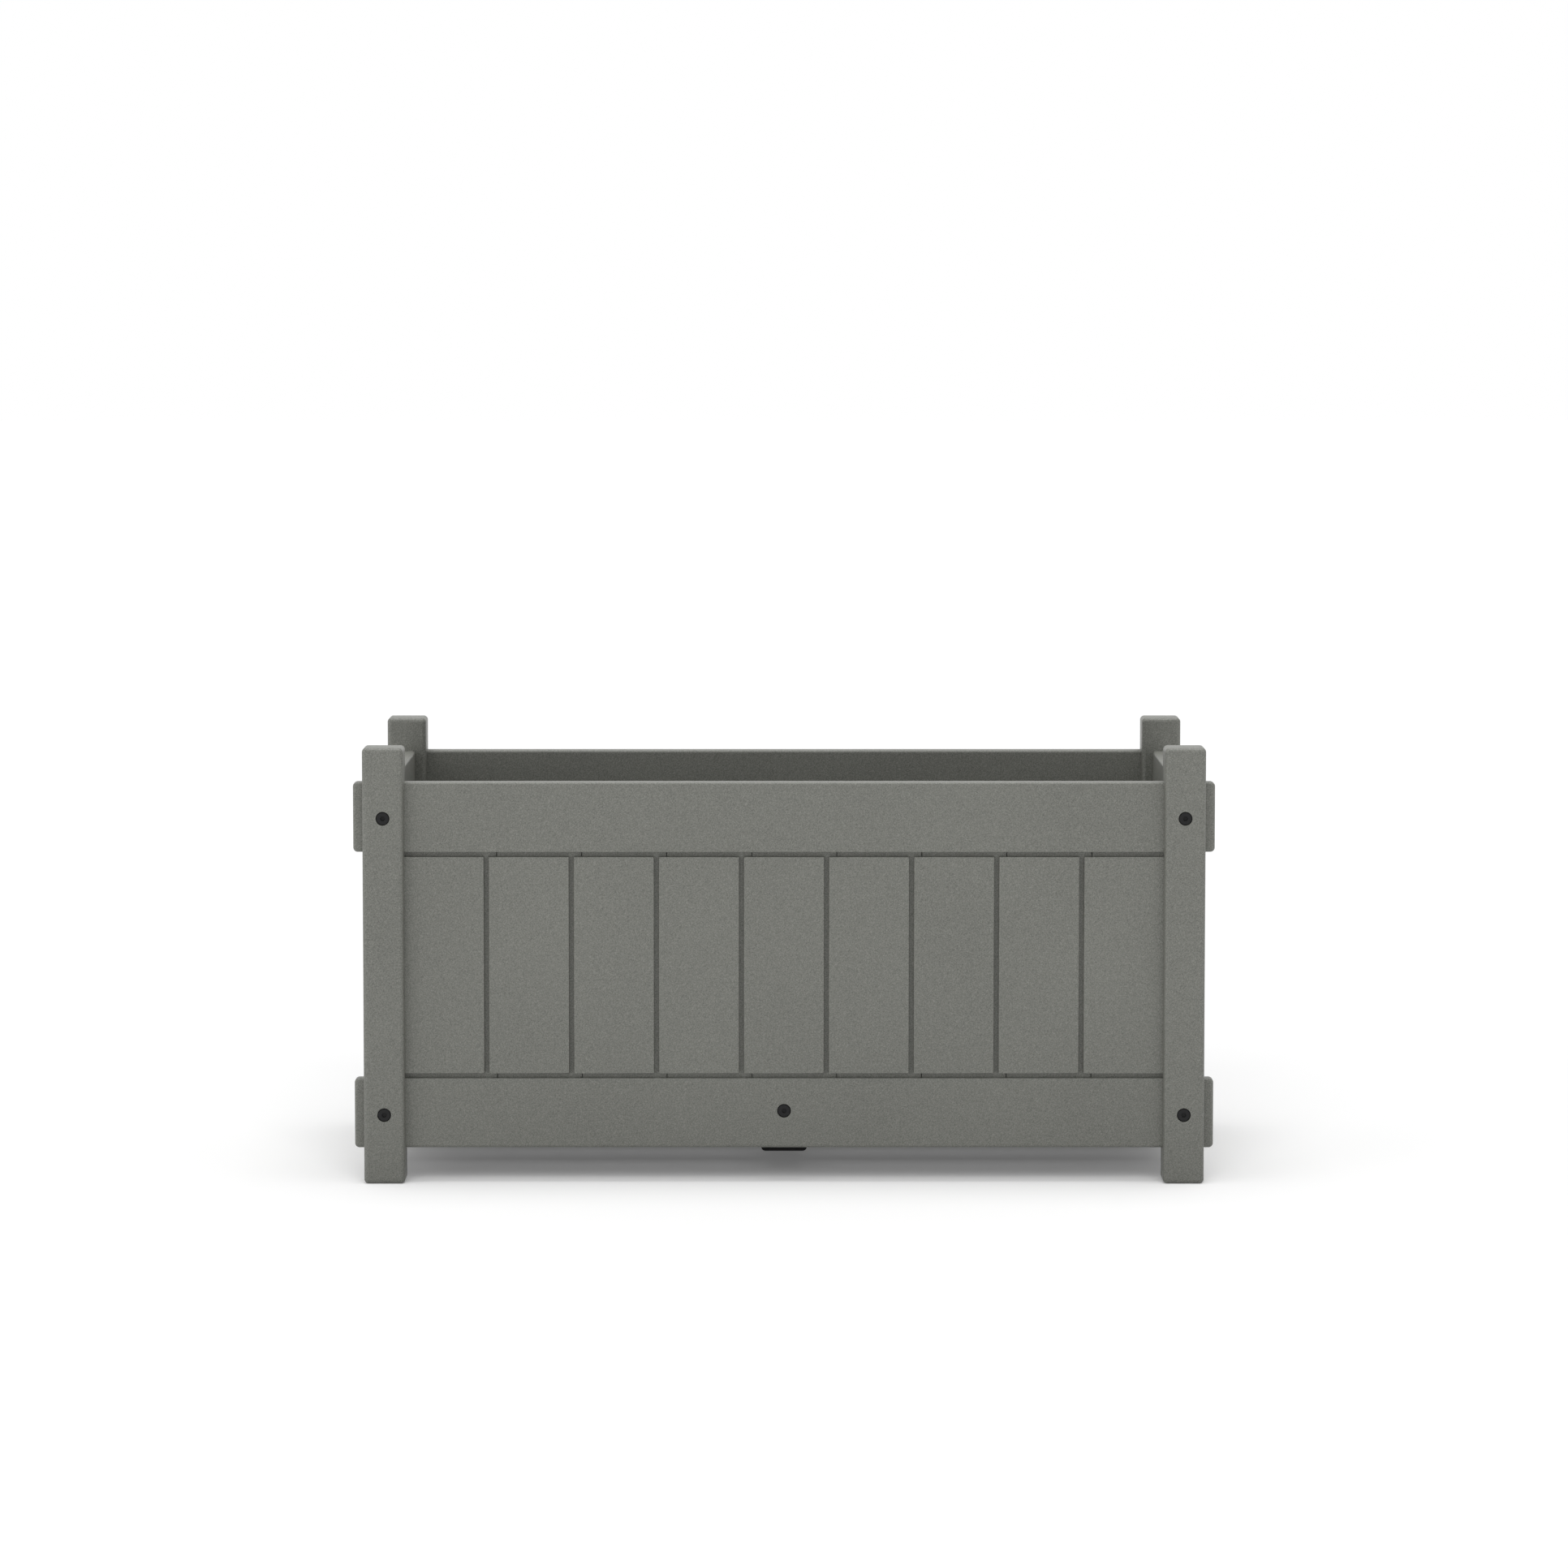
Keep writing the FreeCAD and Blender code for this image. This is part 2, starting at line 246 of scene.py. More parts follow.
grey_board, start = new_material("grey_board")
grain, mottle = board_noises(start)
drift = noise(start, DRIFT, DRIFT_DETAIL)
tone = start.node("ShaderNodeAttribute", {"attribute_name": "tone"}).out("Fac")
shade = ((grain - HALF) * GRAIN_SHARE + (mottle - HALF) * MOTTLE_SHARE
         + (drift - HALF) * DRIFT_SHARE + tone * PLANK_TONE + HALF)
finish_material(start, {
    "Base Color": blend(start, shade, GREY_DARKEST, GREY_PALEST),
    "Roughness": mottle * GREY_ROUGHNESS_SPAN + GREY_ROUGHNESS,
    "Specular IOR Level": GREY_SHEEN,
    "Normal": bump(start, grain + mottle * MOTTLE_IN_BUMP, GREY_BUMP, GREY_BUMP_HEIGHT)})
print("grey board, grain about", round(MM / GRAIN, 1), "mm across")

# %% [markdown]
# ## The black boards
# The floor, its cleats and the crossbar are the same lumber, coloured black right through. The
# grain is the same, but on black it hardly shows, so the colours lie closer together and the
# sheen is duller. A mirror-like sheen would turn the crossbar's end grey, and it's nearly black.

# %% Black board material
BLACK_DARKEST, BLACK_PALEST = (8, 8, 8), (30, 30, 30)
BLACK_SHEEN = 0.12
BLACK_ROUGHNESS, BLACK_ROUGHNESS_SPAN = 0.5, 0.2
BLACK_BUMP, BLACK_BUMP_HEIGHT = 0.3, 0.0004

black_board, start = new_material("black_board")
grain, mottle = board_noises(start)
finish_material(start, {
    "Base Color": blend(start, grain, BLACK_DARKEST, BLACK_PALEST),
    "Roughness": mottle * BLACK_ROUGHNESS_SPAN + BLACK_ROUGHNESS,
    "Specular IOR Level": BLACK_SHEEN,
    "Normal": bump(start, grain + mottle * MOTTLE_IN_BUMP, BLACK_BUMP, BLACK_BUMP_HEIGHT)})
print("black board")

# %% [markdown]
# ## The black bolts
# The bolts are steel with a black coating. A coat hides the metal, so the surface is a satin
# black and not metallic. Its skin is much finer than the boards' grain: a noise of less than a
# millimetre moves the colour and the sheen a little.

# %% Black bolt material
COATING = 1400.0
BOLT_DARKEST, BOLT_PALEST = (18, 18, 19), (36, 36, 37)
BOLT_SHEEN = 0.25
BOLT_ROUGHNESS, BOLT_ROUGHNESS_SPAN = 0.4, 0.2
BOLT_BUMP, BOLT_BUMP_HEIGHT = 0.15, 0.0001

black_bolt, start = new_material("black_bolt")
skin = noise(start, COATING)
finish_material(start, {
    "Base Color": blend(start, skin, BOLT_DARKEST, BOLT_PALEST),
    "Roughness": skin * BOLT_ROUGHNESS_SPAN + BOLT_ROUGHNESS,
    "Specular IOR Level": BOLT_SHEEN, "Normal": bump(start, skin, BOLT_BUMP, BOLT_BUMP_HEIGHT)})
print("black bolt")

# %% [markdown]
# ## The steel
# The screws and the barrel nuts are plain stainless steel, hidden inside the box. Steel is a
# metal, so its colour is the colour of what it mirrors, and the noise changes mostly how
# sharply it mirrors, as fine tool marks do. At the end every modelled piece gets the material
# that its slot names.

# %% Steel material
BRUSHING, BRUSHING_DETAIL, BRUSHING_ROUGHNESS = 900.0, 3.0, 0.7
STEEL_DARKEST, STEEL_PALEST = (178, 177, 174), (206, 205, 202)
STEEL_ROUGHNESS, STEEL_ROUGHNESS_SPAN = 0.2, 0.2

steel, start = new_material("steel")
brushing = noise(start, BRUSHING, BRUSHING_DETAIL, BRUSHING_ROUGHNESS)
finish_material(start, {
    "Base Color": blend(start, brushing, STEEL_DARKEST, STEEL_PALEST), "Metallic": 1.0,
    "Roughness": brushing * STEEL_ROUGHNESS_SPAN + STEEL_ROUGHNESS})

MATERIALS = {"grey_board": grey_board, "black_board": black_board,
             "black_bolt": black_bolt, "steel": steel}
for node in nodes.values():
    for holder in node.material_slots:
        name = holder.material.name.split(".")[0]
        if name in MATERIALS:
            holder.material = MATERIALS[name]
        else:
            print("no material for", node.name, name)
print("materials", sorted(MATERIALS))

# %% [markdown]
# ## Growing a piece from a rule
# Planks, slats, bolts and screws repeat, so each kind is one rule and a few sizes. Geometry
# Nodes hold such a rule: the tree takes the sizes as named inputs, and its result is turned
# into a plain mesh, because an exported model can't carry the tree. The sizes come from the
# modelled solids, so that the grown pieces fit where the solids do.

# %% Trees and what they grow
SHARP_FROM = 30


def new_tree(name, inputs):
    """A Geometry Nodes tree whose inputs are the object's own mesh and these named values."""
    tree = bpy.data.node_groups.new(name, "GeometryNodeTree")
    tree.interface.new_socket(name="Geometry", in_out="OUTPUT", socket_type="NodeSocketGeometry")
    tree.interface.new_socket(name="Geometry", in_out="INPUT", socket_type="NodeSocketGeometry")
    for label, kind in inputs.items():
        tree.interface.new_socket(name=label, in_out="INPUT", socket_type="NodeSocket" + kind)
    return tree, Socket(tree).node("NodeGroupInput")


def end_tree(geometry, material):
    real = geometry.node("GeometryNodeRealizeInstances", inputs={"Geometry": geometry})
    painted = geometry.node("GeometryNodeSetMaterial",
                            inputs={"Geometry": real, "Material": material})
    geometry.node("NodeGroupOutput", inputs={"Geometry": painted})


def grow(name, tree, values, mesh=None):
    """Run a tree once on a mesh, and keep the result as a plain mesh."""
    piece = bpy.data.objects.new(name, mesh or bpy.data.meshes.new(name))
    scene.collection.objects.link(piece)
    modifier = piece.modifiers.new("rule", "NODES")
    modifier.node_group = tree
    for item in tree.interface.items_tree:
        if item.in_out == "INPUT" and item.name in values:
            modifier[item.identifier] = values[item.name]
    ready = piece.evaluated_get(bpy.context.evaluated_depsgraph_get())
    grown = bpy.data.meshes.new_from_object(ready)
    piece.modifiers.remove(modifier)
    piece.data = grown
    grown.name = name
    return piece


def finish_piece(piece, slot, *stands_for):
    """Let a piece ride with the box in place of the solids that it stands for."""
    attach(piece, "root")
    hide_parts(*stands_for)
    low, high = (Vector(corner) for corner in zip(*[
        (min(side), max(side)) for side in zip(*[vertex.co for vertex in piece.data.vertices])]))
    print(piece.name, len(piece.data.polygons), "faces",
          [round(v * MM, 1) for v in (*low, *high)], "mm, stands for", len(stands_for))


def smooth(piece, sharp_from=None):
    """Smooth shading, but crisp where two faces meet at more than this many degrees."""
    for face in piece.data.polygons:
        face.use_smooth = True
    if sharp_from is not None:
        piece.data.set_sharp_from_angle(angle=math.radians(sharp_from))


def combine(start, x, y, z):
    return start.node("ShaderNodeCombineXYZ", inputs={"X": x, "Y": y, "Z": z})


def moved(geometry, translation=(0, 0, 0), rotation=(0, 0, 0)):
    return geometry.node("GeometryNodeTransform", inputs={
        "Geometry": geometry, "Translation": translation, "Rotation": rotation})


def repeated(points, instance, selection=True):
    return points.node("GeometryNodeInstanceOnPoints", inputs={
        "Points": points, "Instance": instance, "Selection": selection})


def cut(geometry, *tools):
    return geometry.node("GeometryNodeMeshBoolean",
                         {"operation": "DIFFERENCE", "solver": "EXACT"},
                         {0: geometry, 1: list(tools)})


# %% [markdown]
# ## The planks
# The planks stand edge to edge between the two rails of a panel. Each has a tongue on its
# right edge and a slot in its left one, and the gap between two faces is the groove that the
# photograph shows. A plank is three slabs: the face, the tongue behind it and the back. The
# tree joins them, cuts the slot, sets planks side by side, and marks the edges beside the
# grooves, which a Bevel modifier then eases as a moulding cutter would.

# %% One plank
# The cutter of a slot runs past the plank by this many gaps
PAST_SIDE = 2
PAST_END = 4


def slab(start, xs, ys, zs):
    """A block between pairs of coordinates, each of them a number or a socket."""
    size = combine(start, xs[1] - xs[0], ys[1] - ys[0], zs[1] - zs[0])
    middle = combine(start, *[(pair[0] + pair[1]) * HALF for pair in (xs, ys, zs)])
    return moved(start.node("GeometryNodeMeshCube", inputs={"Size": size}), middle)


def plank(sizes, flat_width, gap, is_first, is_last):
    """A plank whose flat face starts at x = 0, with its outer face at y = 0."""
    edge, depth = sizes.out("Groove Edge"), sizes.out("Groove Depth")
    low, high = sizes.out("Low"), sizes.out("High")
    reach, play = sizes.out("Tongue Reach"), sizes.out("Side Play")
    left = 0.0 if is_first else edge * -1
    right = flat_width if is_last else flat_width + edge
    tongue_back = depth + sizes.out("Tongue Thickness")
    tongue_right = right if is_last else right + gap + reach
    back_left = left if is_first else left - gap + sizes.out("Back Gap")
    slabs = [slab(sizes, (left, right), (0.0, depth), (low, high)),
             slab(sizes, (left, tongue_right), (depth, tongue_back),
                  (low - gap - reach, high + gap + reach)),
             slab(sizes, (back_left, right), (tongue_back, sizes.out("Thickness")),
                  (low - gap, high + gap - sizes.out("Back Gap")))]
    body = sizes.node("GeometryNodeMeshBoolean",
                      {"operation": "UNION", "solver": "EXACT"}, {1: slabs})
    if not is_first:
        slot_right = left + reach + sizes.out("End Play")
        slot = slab(sizes, (left - gap * PAST_SIDE, slot_right),
                    (depth - play, tongue_back + play),
                    (low - gap * PAST_END, high + gap * PAST_END))
        body = cut(body, slot)
    return body


# %% A row of planks
# An edge counts as on the face, or as beside a post, within a tenth of the groove
NEARNESS = 10

plank_row, sizes = new_tree("plank_row", {
    "Count": "Int", "Span": "Float", "Face": "Float", "Turn": "Float", "Low": "Float",
    "High": "Float", "Thickness": "Float", "Groove Width": "Float", "Groove Depth": "Float",
    "Groove Edge": "Float", "Tongue Thickness": "Float", "Tongue Reach": "Float",
    "Side Play": "Float", "End Play": "Float", "Back Gap": "Float", "Tone Seed": "Int",
    "Material": "Material"})
count, groove = sizes.out("Count"), sizes.out("Groove Width")
gap = groove - sizes.out("Groove Edge") * 2
flat_width = (sizes.out("Span") + groove) / count - groove
line = sizes.node("GeometryNodeMeshLine", inputs={
    "Count": count, "Offset": combine(sizes, flat_width + groove, 0.0, 0.0)})
number = sizes.node("GeometryNodeInputIndex")
after_first = sizes.math("GREATER_THAN", number, HALF)
before_last = sizes.math("LESS_THAN", number, count - (1 + HALF))
row = sizes.node("GeometryNodeJoinGeometry", inputs={"Geometry": [
    repeated(line, plank(sizes, flat_width, gap, True, False), 1 - after_first),
    repeated(line, plank(sizes, flat_width, gap, False, False), after_first * before_last),
    repeated(line, plank(sizes, flat_width, gap, False, True), 1 - before_last)]})
tone = sizes.node("FunctionNodeRandomValue", {"data_type": "FLOAT"}, {
    "Min": -1.0, "Max": 1.0, "Seed": sizes.out("Tone Seed")})
row = sizes.node("GeometryNodeStoreNamedAttribute", {"domain": "INSTANCE", "data_type": "FLOAT"}, {
    "Geometry": row, "Name": "tone", "Value": tone})
row = sizes.node("GeometryNodeRealizeInstances", inputs={"Geometry": row})
middle = sizes.node("ShaderNodeSeparateXYZ", inputs={
    "Vector": sizes.node("GeometryNodeInputPosition")})
on_face = sizes.math("LESS_THAN", middle.out("Y"), sizes.out("Groove Depth") / NEARNESS)
off_posts = (sizes.math("GREATER_THAN", middle, groove / NEARNESS)
             * sizes.math("LESS_THAN", middle, sizes.out("Span") - groove / NEARNESS))
eased = on_face * off_posts
row = sizes.node("GeometryNodeStoreNamedAttribute", {"domain": "EDGE", "data_type": "FLOAT"}, {
    "Geometry": row, "Name": "bevel_weight_edge", "Value": eased})
row = sizes.node("GeometryNodeSetShadeSmooth", {"domain": "EDGE"}, {
    "Geometry": row, "Selection": 1 - eased, "Shade Smooth": False})
row = moved(row, combine(sizes, sizes.out("Span") * -HALF, sizes.out("Face") * -1, 0.0))
end_tree(moved(row, rotation=combine(sizes, 0.0, 0.0, sizes.out("Turn"))), sizes.out("Material"))
print("plank_row tree,", len(plank_row.nodes), "nodes")

# %% Grow the four panels' planks
GROOVE_WIDTH = 0.00635
GROOVE_DEPTH = 0.00635
GROOVE_EDGE = 0.0005
GROOVE_GAP = GROOVE_WIDTH - 2 * GROOVE_EDGE
TONGUE_THICKNESS = 0.00635
TONGUE_REACH = 0.008
SLOT_SIDE_PLAY = 0.0002
SLOT_END_PLAY = 0.001
PLANK_BACK_GAP = 0.0005
ROUND_EDGE_STEPS = 4

# How many planks each panel has, and how many quarter turns it stands from the front
PANELS = {"front": (9, 0), "right": (4, 1), "back": (9, 2), "left": (4, 3)}

post_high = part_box("front_left_post")[1]
low_rail, high_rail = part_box("front_bottom_rail"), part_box("front_top_rail")
spans = (-2 * post_high[0], -2 * post_high[1])
faces = (-low_rail[0][1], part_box("right_top_rail")[1][0])

for panel, (count, quarter_turns) in PANELS.items():
    planks = grow(panel + "_planks", plank_row, {
        "Count": count, "Span": spans[quarter_turns % 2], "Face": faces[quarter_turns % 2],
        "Turn": quarter_turns * math.pi / 2, "Low": low_rail[1][2] + GROOVE_GAP,
        "High": high_rail[0][2] - GROOVE_GAP, "Thickness": low_rail[1][1] - low_rail[0][1],
        "Groove Width": GROOVE_WIDTH, "Groove Depth": GROOVE_DEPTH, "Groove Edge": GROOVE_EDGE,
        "Tongue Thickness": TONGUE_THICKNESS, "Tongue Reach": TONGUE_REACH,
        "Side Play": SLOT_SIDE_PLAY, "End Play": SLOT_END_PLAY, "Back Gap": PLANK_BACK_GAP,
        "Tone Seed": quarter_turns, "Material": grey_board})
    bevel = planks.modifiers.new("eased edges", "BEVEL")
    bevel.limit_method = "WEIGHT"
    bevel.width = GROOVE_EDGE
    bevel.segments = ROUND_EDGE_STEPS
    bevel.harden_normals = True
    smooth(planks)
    finish_piece(planks, "grey_board", *[
        panel + "_plank_" + str(number) for number in range(1, count + 1)])

# %% [markdown]
# ## The floor slats
# Four boards lie lengthwise inside, with gaps to drain. One board is a block whose edges are
# bevelled round, as extruded boards are. The tree sinks a countersunk hole wherever a screw
# goes in, then lays the boards side by side.

# %% One rounded slat
EDGE_RADIUS = 0.0047625
SCREW_HEAD_RADIUS = 0.0048
SCREW_HEAD_HEIGHT = 0.0032
SCREW_RADIUS = 0.0024
SCREW_SET_IN = 0.0005
SCREW_PLAY = 0.00005
SLAT_COUNT = 4
SCREWS_PER_SLAT = 3
CIRCLE_SIDES = 32

# A screw's bore is cut this many boards long, so that it runs right through
PAST_BOARD = 3

first_low, first_high = (Vector(corner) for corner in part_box("floor_slat_1"))
slat_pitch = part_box("floor_slat_2")[0][1] - first_low.y
slat_size = first_high - first_low


def rounded_block(name, size, radius):
    """A block with round edges, its top's middle at the origin."""
    shape = bmesh.new()
    bmesh.ops.create_cube(shape, size=1)
    bmesh.ops.scale(shape, vec=size, verts=shape.verts)
    bmesh.ops.translate(shape, vec=(0, 0, -size.z / 2), verts=shape.verts)
    bmesh.ops.bevel(shape, geom=shape.edges[:], offset=radius, segments=ROUND_EDGE_STEPS,
                    profile=HALF, affect="EDGES")
    mesh = bpy.data.meshes.new(name)
    shape.to_mesh(mesh)
    shape.free()
    return mesh


# %% A row of slats
slat_row, sizes = new_tree("slat_row", {
    "Count": "Int", "Pitch": "Float", "Holes": "Int", "Hole Spacing": "Float",
    "Head Radius": "Float", "Head Height": "Float", "Shank Radius": "Float",
    "Set In": "Float", "Board": "Float", "Place": "Vector", "Material": "Material"})
head, shank = sizes.out("Head Radius"), sizes.out("Shank Radius")
cone_height, set_in = sizes.out("Head Height"), sizes.out("Set In")
mouth = moved(sizes.node("GeometryNodeMeshCylinder", inputs={
    "Vertices": CIRCLE_SIDES, "Radius": head, "Depth": set_in * 2}))
cone = moved(sizes.node("GeometryNodeMeshCone", inputs={
    "Vertices": CIRCLE_SIDES, "Radius Top": head, "Radius Bottom": shank, "Depth": cone_height}),
    combine(sizes, 0.0, 0.0, (cone_height + set_in) * -1))
bore = sizes.node("GeometryNodeMeshCylinder", inputs={
    "Vertices": CIRCLE_SIDES, "Radius": shank, "Depth": sizes.out("Board") * PAST_BOARD})
spots = sizes.node("GeometryNodeMeshLine", inputs={
    "Count": sizes.out("Holes"), "Offset": combine(sizes, sizes.out("Hole Spacing"), 0.0, 0.0),
    "Start Location": combine(
        sizes, (1 - sizes.out("Holes")) * sizes.out("Hole Spacing") / 2, 0.0, 0.0)})
holes = [sizes.node("GeometryNodeRealizeInstances", inputs={"Geometry": repeated(spots, tool)})
         for tool in (mouth, cone, bore)]
line = sizes.node("GeometryNodeMeshLine", inputs={
    "Count": sizes.out("Count"), "Offset": combine(sizes, 0.0, sizes.out("Pitch"), 0.0)})
slats = repeated(line, cut(sizes.out("Geometry"), *holes))
end_tree(moved(slats, sizes.out("Place")), sizes.out("Material"))

# %% Grow the slats
screw_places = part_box("floor_screws")
slats = grow("floor_slats", slat_row, {
    "Count": SLAT_COUNT, "Pitch": slat_pitch, "Holes": SCREWS_PER_SLAT,
    "Hole Spacing": screw_places[1][0] - SCREW_HEAD_RADIUS,
    "Head Radius": SCREW_HEAD_RADIUS + SCREW_PLAY, "Head Height": SCREW_HEAD_HEIGHT,
    "Shank Radius": SCREW_RADIUS + SCREW_PLAY, "Set In": SCREW_SET_IN, "Board": slat_size.z,
    "Place": Vector((0, first_low.y + slat_size.y / 2, first_high.z)),
    "Material": black_board}, rounded_block("slat", slat_size, EDGE_RADIUS))
smooth(slats, SHARP_FROM)
finish_piece(slats, "black_board", *[
    "floor_slat_" + str(number) for number in range(1, SLAT_COUNT + 1)])

# %% [markdown]
# ## Bolts and screws
# The bolts are black, with a flat round head and a hex socket, sunk a little into the posts and
# rails. The screws are countersunk, with a square drive. Each is round but for its drive, so a
# profile is spun about its axis, as on a lathe. A tree then cuts the drive into the head and
# repeats the fastener in rows, once more on the far side where the box has them on both.

# %% A lathe
LATHE_STEPS = 40
SAME_PLACE = 1e-6


def lathed(name, profile, steps=LATHE_STEPS):
    """A solid turned from a profile of radius and height, whose ends lie on the axis."""
    shape = bmesh.new()
    points = [shape.verts.new((radius, 0, height)) for radius, height in profile]
    lines = [shape.edges.new(pair) for pair in zip(points, points[1:])]
    bmesh.ops.spin(shape, geom=points + lines, cent=(0, 0, 0), axis=(0, 0, 1),
                   angle=2 * math.pi, steps=steps)
    bmesh.ops.remove_doubles(shape, verts=shape.verts, dist=SAME_PLACE)
    bmesh.ops.recalc_face_normals(shape, faces=shape.faces)
    mesh = bpy.data.meshes.new(name)
    shape.to_mesh(mesh)
    shape.free()
    return mesh


def rounded_rim(radius, edge):
    """The profile of a flat top from its middle over a round edge."""
    turns = [step * math.pi / 2 / ROUND_EDGE_STEPS for step in range(ROUND_EDGE_STEPS + 1)]
    return [(0, 0)] + [(radius - edge + edge * math.sin(turn), -edge + edge * math.cos(turn))
                       for turn in turns]


# %% Fasteners in rows
fastener_rows, sizes = new_tree("fastener_rows", {
    "Columns": "Int", "Rows": "Int", "Column Spacing": "Float", "Row Spacing": "Float",
    "Drive Sides": "Int", "Drive Radius": "Float", "Drive Depth": "Float",
    "Tilt": "Vector", "Place": "Vector", "Both Sides": "Bool", "Material": "Material"})
drive = sizes.node("GeometryNodeMeshCylinder", inputs={
    "Vertices": sizes.out("Drive Sides"), "Radius": sizes.out("Drive Radius"),
    "Depth": sizes.out("Drive Depth") * 2})
grid = sizes.node("GeometryNodeMeshGrid", inputs={
    "Size X": (sizes.out("Columns") - 1) * sizes.out("Column Spacing"),
    "Size Y": (sizes.out("Rows") - 1) * sizes.out("Row Spacing"),
    "Vertices X": sizes.out("Columns"), "Vertices Y": sizes.out("Rows")})
rows = repeated(grid, cut(sizes.out("Geometry"), drive))
rows = moved(moved(rows, rotation=sizes.out("Tilt")), sizes.out("Place"))
both = sizes.node("GeometryNodeJoinGeometry", inputs={
    "Geometry": [rows, moved(rows, rotation=(0, 0, math.pi))]})
rows = sizes.node("GeometryNodeSwitch", {"input_type": "GEOMETRY"}, {
    "Switch": sizes.out("Both Sides"), "False": rows, "True": both})
end_tree(rows, sizes.out("Material"))
print("fastener_rows tree,", len(fastener_rows.nodes), "nodes")

# %% Grow the bolts
BOLT_HEAD_RADIUS = 0.00715
BOLT_HEAD_THICKNESS = 0.0032
BOLT_HEAD_EDGE = 0.0012
SOCKET_RADIUS = 0.0029
SOCKET_DEPTH = 0.0022
SHANK_RADIUS = 0.00395
SHANK_CHAMFER = 0.0008
HEX = 6


def bolt_mesh(name, length):
    chamfered = SHANK_RADIUS - SHANK_CHAMFER
    return lathed(name, rounded_rim(BOLT_HEAD_RADIUS, BOLT_HEAD_EDGE) + [
        (BOLT_HEAD_RADIUS, -BOLT_HEAD_THICKNESS), (SHANK_RADIUS, -BOLT_HEAD_THICKNESS),
        (SHANK_RADIUS, SHANK_CHAMFER - length), (chamfered, -length), (0, -length)])


def grow_bolts(node, columns, rows, length):
    low, high = (Vector(corner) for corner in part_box(node))
    bolts = grow(node.replace("bolts", "bolt_set"), fastener_rows, {
        "Columns": columns, "Rows": rows,
        "Column Spacing": high.x - low.x - 2 * BOLT_HEAD_RADIUS,
        "Row Spacing": high.z - low.z - 2 * BOLT_HEAD_RADIUS,
        "Drive Sides": HEX, "Drive Radius": SOCKET_RADIUS, "Drive Depth": SOCKET_DEPTH,
        "Tilt": (math.pi / 2, 0, 0), "Place": Vector((0, low.y, (low.z + high.z) / 2)),
        "Both Sides": True, "Material": black_bolt}, bolt_mesh(node, length))
    smooth(bolts, SHARP_FROM)
    finish_piece(bolts, "black_bolt", node)


POST_BOLT_LENGTH = 0.0935
CROSSBAR_BOLT_LENGTH = 0.0681
grow_bolts("post_bolts", 2, 2, POST_BOLT_LENGTH)
grow_bolts("crossbar_bolts", 1, 1, CROSSBAR_BOLT_LENGTH)

# %% Grow the screws
SCREW_LENGTH = 0.0381
SCREW_TIP = 0.005
SQUARE_DRIVE = 0.0026
SCREW_DRIVE_DEPTH = 0.0018
SQUARE = 4
CLEAT_SCREWS = 3


def grow_screws(node, name, columns, rows, tilt, place, both_sides):
    low, high = (Vector(corner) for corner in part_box(node))
    screw = lathed(name, [(0, 0), (SCREW_HEAD_RADIUS, 0), (SCREW_RADIUS, -SCREW_HEAD_HEIGHT),
                          (SCREW_RADIUS, SCREW_TIP - SCREW_LENGTH), (0, -SCREW_LENGTH)],
                   CIRCLE_SIDES)
    screws = grow(name, fastener_rows, {
        "Columns": columns, "Rows": rows,
        "Column Spacing": (high.x - low.x - 2 * SCREW_HEAD_RADIUS) / max(columns - 1, 1),
        "Row Spacing": (high.y - low.y - 2 * SCREW_HEAD_RADIUS) / (rows - 1),
        "Drive Sides": SQUARE, "Drive Radius": SQUARE_DRIVE / math.sqrt(2),
        "Drive Depth": SCREW_DRIVE_DEPTH, "Tilt": tilt, "Place": place,
        "Both Sides": both_sides, "Material": steel}, screw)
    smooth(screws, SHARP_FROM)
    finish_piece(screws, "steel", node)


top = screw_places[1][2]
grow_screws("floor_screws", "slat_screws", SCREWS_PER_SLAT, SLAT_COUNT, (0, 0, 0),
            Vector((0, 0, top)), False)
low, high = (Vector(corner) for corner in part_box("cleat_screws"))
grow_screws("cleat_screws", "cleat_screw_set", 1, CLEAT_SCREWS, (0, math.pi / 2, 0),
            Vector((low.x + SCREW_LENGTH, 0, (low.z + high.z) / 2)), True)

# %% [markdown]
# ## The floor
# The box stands on a white studio floor that runs on to the horizon. Its colour and the light
# on it come out as white, so it melts into the white behind, and only the shadow shows. A
# little glow, which only the camera and mirrors see, keeps the shadow under the box soft. As a
# light on the box the floor is darker than it looks, and close to the box a painted shade, which
# stands in for the shadow the box throws around it, makes it darker still: a white floor would
# throw so much light up that the feet and the undersides would come out too pale.

# %% Floor
FLOOR_SIZE = 60.0
FLOOR_COLOUR = 0.8
# How pale the floor is as a light far off, and in the painted shade close to the box
FLOOR_BOUNCE = 0.75
FLOOR_BOUNCE_IN_PAINTED_SHADE = 0.35
NEAR = 0.3
FLOOR_GLOW = 0.12

floor_mesh = bpy.data.meshes.new("floor")
reach = FLOOR_SIZE / 2
floor_mesh.from_pydata(
    [(-reach, -reach, 0), (reach, -reach, 0), (reach, reach, 0), (-reach, reach, 0)],
    [], [(0, 1, 2, 3)])
floor = bpy.data.objects.new("floor", floor_mesh)
scene.collection.objects.link(floor)


def shows(start):
    """1 for rays that show a place to the camera or mirror it, 0 for those that light others."""
    ray = start.node("ShaderNodeLightPath")
    return start.math("MAXIMUM", ray.out("Is Camera Ray"), start.math(
        "MAXIMUM", ray.out("Is Glossy Ray"), ray.out("Is Transmission Ray")))


def grey(start, level):
    return combine(start, level, level, level)


def shown_or_not(start, lighting, shown):
    """One grey level for rays that light other places, and another for those that show this."""
    return start.node("ShaderNodeMix", {"data_type": "RGBA"}, {
        "Factor": shows(start), "A": grey(start, lighting), "B": grey(start, shown)})


